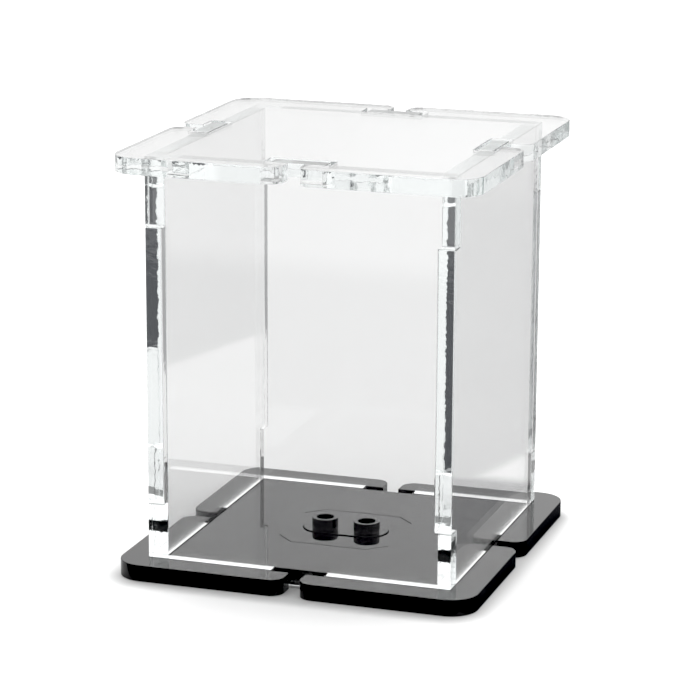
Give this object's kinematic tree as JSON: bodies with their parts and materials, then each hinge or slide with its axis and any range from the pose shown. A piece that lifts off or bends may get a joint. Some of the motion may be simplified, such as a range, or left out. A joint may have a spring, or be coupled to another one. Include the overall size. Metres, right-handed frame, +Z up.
{
  "type": "figure display case",
  "caption": "Clear slot-together sheet display case with a lift-off lid, on a black gloss base whose hollow studs hold a small brick-built figure.",
  "frame": {"origin": "middle of the base plate's underside, the face the case stands on", "axes": "+Z up through the lid; -Y out of the front wall; +X to the right seen from the front; the two studs lie along X"},
  "size_m": [0.066, 0.066, 0.076],
  "materials": {
    "clear_acrylic": "clear cast acrylic sheet, polished faces, laser-cut edges with fine upright striations",
    "black_acrylic": "black gloss acrylic sheet, mirror-like top face with finely engraved guide lines",
    "black_moulded": "black injection-moulded plastic, glossy"
  },
  "bodies": {
    "base": {"base_plate": "black_acrylic", "stud_plate": "black_moulded"},
    "walls": {"front_wall": "clear_acrylic", "back_wall": "clear_acrylic", "left_wall": "clear_acrylic", "right_wall": "clear_acrylic"},
    "lid": {"lid": "clear_acrylic"}
  },
  "joints": [
    {"name": "walls_lift", "type": "slide", "parent": "base", "child": "walls", "axis": [0, 0, 1], "range_m": [0, 0.08]},
    {"name": "lid_lift", "type": "slide", "parent": "walls", "child": "lid", "axis": [0, 0, 1], "range_m": [0, 0.05]}
  ]
}
